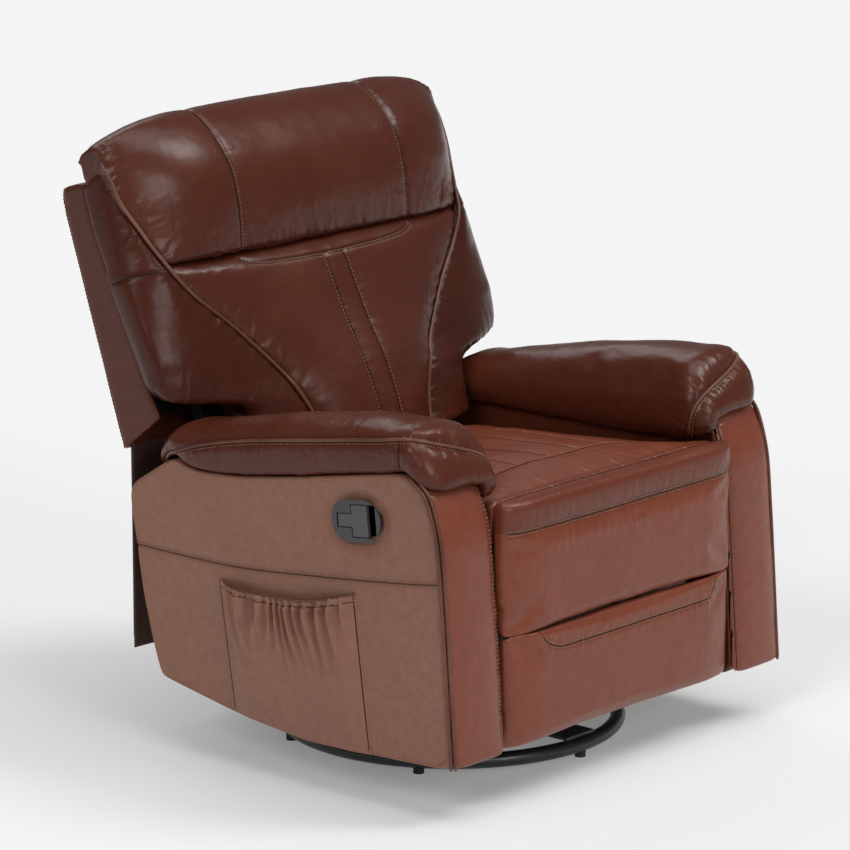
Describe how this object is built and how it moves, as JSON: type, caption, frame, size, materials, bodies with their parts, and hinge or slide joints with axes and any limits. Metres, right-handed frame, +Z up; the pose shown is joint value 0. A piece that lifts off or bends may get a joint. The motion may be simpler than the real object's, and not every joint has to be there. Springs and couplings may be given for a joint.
{
  "type": "manual recliner chair",
  "caption": "Padded leather recliner armchair with pillow arms, side pocket, release handle and fold-out footrest on a swivelling, rocking ring base.",
  "frame": {"origin": "on the floor, under the middle of the chair's outline", "axes": "+Z up, -Y the way the sitter faces, +X the sitter's left"},
  "size_m": [0.8632, 0.8671, 1.0181],
  "materials": {
    "ring_black": "satin black powder coat",
    "zinc_steel": "zinc plated",
    "rubber_black": "matt",
    "nylon": "moulded",
    "plywood": "raw plywood",
    "handle_plastic": "fine texture",
    "leather_arm": "soft semi-gloss, fine grain",
    "leather_back": "semi-gloss, fine grain",
    "leather_welt": "satin piping",
    "skirt_cloth": "coated backing cloth"
  },
  "bodies": {
    "base": {"base_ring": "ring_black", "ring_glides": "rubber_black", "base_spokes": "ring_black", "swivel_lower_plate": "zinc_steel", "king_bolt": "zinc_steel", "king_nut": "zinc_steel"},
    "turntable": {"bearing_ring": "nylon", "swivel_upper_plate": "zinc_steel", "rocker_beam": "ring_black", "rocker_rail_left": "ring_black", "rocker_rail_right": "ring_black", "rocker_pads": "nylon", "rocker_springs": "zinc_steel"},
    "chassis": {"rocker_cam_left": "ring_black", "rocker_cam_right": "ring_black", "side_plate_left": "zinc_steel", "side_plate_right": "zinc_steel", "cross_tube_front": "ring_black", "cross_tube_rear": "ring_black", "arm_frame_left": "plywood", "arm_frame_right": "plywood", "arm_cover_left": "leather_arm", "arm_cover_right": "leather_arm", "arm_front_left": "leather_arm", "arm_front_right": "leather_arm", "arm_pillow_left": "leather_back", "arm_pillow_right": "leather_back", "arm_welts": "leather_welt", "arm_bolts": "zinc_steel", "side_pocket": "leather_arm", "handle_bezel": "handle_plastic", "release_cable": "handle_plastic"},
    "lever": {"release_lever": "handle_plastic"},
    "pawl": {"latch_pawl": "zinc_steel"},
    "scissor_1": {"torque_tube": "ring_black", "scissor_link_1": "zinc_steel"},
    "scissor_2": {"scissor_link_2": "zinc_steel"},
    "scissor_3": {"scissor_link_3": "zinc_steel"},
    "scissor_4": {"scissor_link_4": "zinc_steel"},
    "scissor_5": {"scissor_link_5": "zinc_steel"},
    "scissor_6": {"scissor_link_6": "zinc_steel"},
    "footrest": {"footrest_brackets": "zinc_steel", "footrest_board": "plywood", "footrest_pad": "leather_arm"},
    "seat": {"seat_rail_left": "plywood", "seat_rail_right": "plywood", "seat_crossrails": "plywood", "seat_springs": "zinc_steel", "seat_cushion": "leather_arm", "seat_front": "leather_arm"},
    "back": {"back_post_left": "ring_black", "back_post_right": "ring_black", "back_rails": "ring_black", "back_springs": "zinc_steel", "back_shell": "leather_back", "back_cushion": "leather_back", "headrest": "leather_back", "back_bolster_left": "leather_back", "back_bolster_right": "leather_back"},
    "skirt": {"back_skirt": "skirt_cloth"}
  },
  "joints": [
    {"name": "swivel", "type": "hinge", "parent": "base", "child": "turntable", "pos_m": [0, -0.0605, 0.05], "axis": [0, 0, 1], "continuous": true},
    {"name": "rock", "type": "hinge", "parent": "turntable", "child": "chassis", "pos_m": [0, -0.0605, 0.092], "axis": [1, 0, 0], "range_deg": [-6, 6], "stiffness_Nm_per_rad": 700, "springref_deg": 2.8, "deforming": ["rocker_springs"]},
    {"name": "footrest_open", "type": "hinge", "parent": "chassis", "child": "scissor_1", "pos_m": [0, -0.1805, 0.237], "axis": [-1, 0, 0], "range_deg": [0, 56]},
    {"name": "scissor_2_turn", "type": "hinge", "parent": "scissor_1", "child": "scissor_2", "pos_m": [0, -0.20492, 0.16609], "axis": [-1, 0, 0], "range_deg": [-114, 0]},
    {"name": "scissor_3_turn", "type": "hinge", "parent": "scissor_2", "child": "scissor_3", "pos_m": [0, -0.21665, 0.24016], "axis": [-1, 0, 0], "range_deg": [0, 114]},
    {"name": "scissor_4_turn", "type": "hinge", "parent": "scissor_1", "child": "scissor_4", "pos_m": [0, -0.22934, 0.09517], "axis": [-1, 0, 0], "range_deg": [-114, 0]},
    {"name": "scissor_6_turn", "type": "hinge", "parent": "scissor_3", "child": "scissor_6", "pos_m": [0, -0.26549, 0.09834], "axis": [-1, 0, 0], "range_deg": [-114, 0]},
    {"name": "scissor_5_turn", "type": "hinge", "parent": "scissor_6", "child": "scissor_5", "pos_m": [0, -0.27722, 0.17241], "axis": [-1, 0, 0], "range_deg": [0, 114]},
    {"name": "footrest_turn", "type": "hinge", "parent": "scissor_6", "child": "footrest", "pos_m": [0, -0.28895, 0.24649], "axis": [-1, 0, 0], "range_deg": [0, 143]},
    {"name": "recline", "type": "hinge", "parent": "chassis", "child": "back", "pos_m": [0, 0.1895, 0.4], "axis": [-1, 0, 0], "range_deg": [0, 38]},
    {"name": "seat_slide", "type": "slide", "parent": "chassis", "child": "seat", "axis": [0, -1, 0], "range_m": [0, 0.036]},
    {"name": "skirt_hang", "type": "hinge", "parent": "back", "child": "skirt", "pos_m": [0, 0.3015, 0.48133], "axis": [-1, 0, 0], "range_deg": [-40, 0]},
    {"name": "lever_pull", "type": "hinge", "parent": "chassis", "child": "lever", "pos_m": [-0.418, -0.19369, 0.45345], "axis": [0, -0.1045, -0.9945], "range_deg": [0, 30], "stiffness_Nm_per_rad": 0.6},
    {"name": "pawl_turn", "type": "hinge", "parent": "chassis", "child": "pawl", "pos_m": [-0.2805, -0.1685, 0.15], "axis": [1, 0, 0], "range_deg": [0, 16]}
  ],
  "couplings": [
    {"joint": "scissor_2_turn", "follows": "footrest_open", "ratio": -2},
    {"joint": "scissor_3_turn", "follows": "footrest_open", "ratio": 2},
    {"joint": "scissor_4_turn", "follows": "footrest_open", "ratio": -2},
    {"joint": "scissor_6_turn", "follows": "footrest_open", "ratio": -2},
    {"joint": "scissor_5_turn", "follows": "footrest_open", "ratio": 2},
    {"joint": "footrest_turn", "follows": "footrest_open", "ratio": 2.5179},
    {"joint": "seat_slide", "follows": "recline", "m_per_rad": 0.0528},
    {"joint": "skirt_hang", "follows": "recline", "ratio": -1},
    {"joint": "pawl_turn", "follows": "lever_pull", "ratio": 0.5}
  ]
}
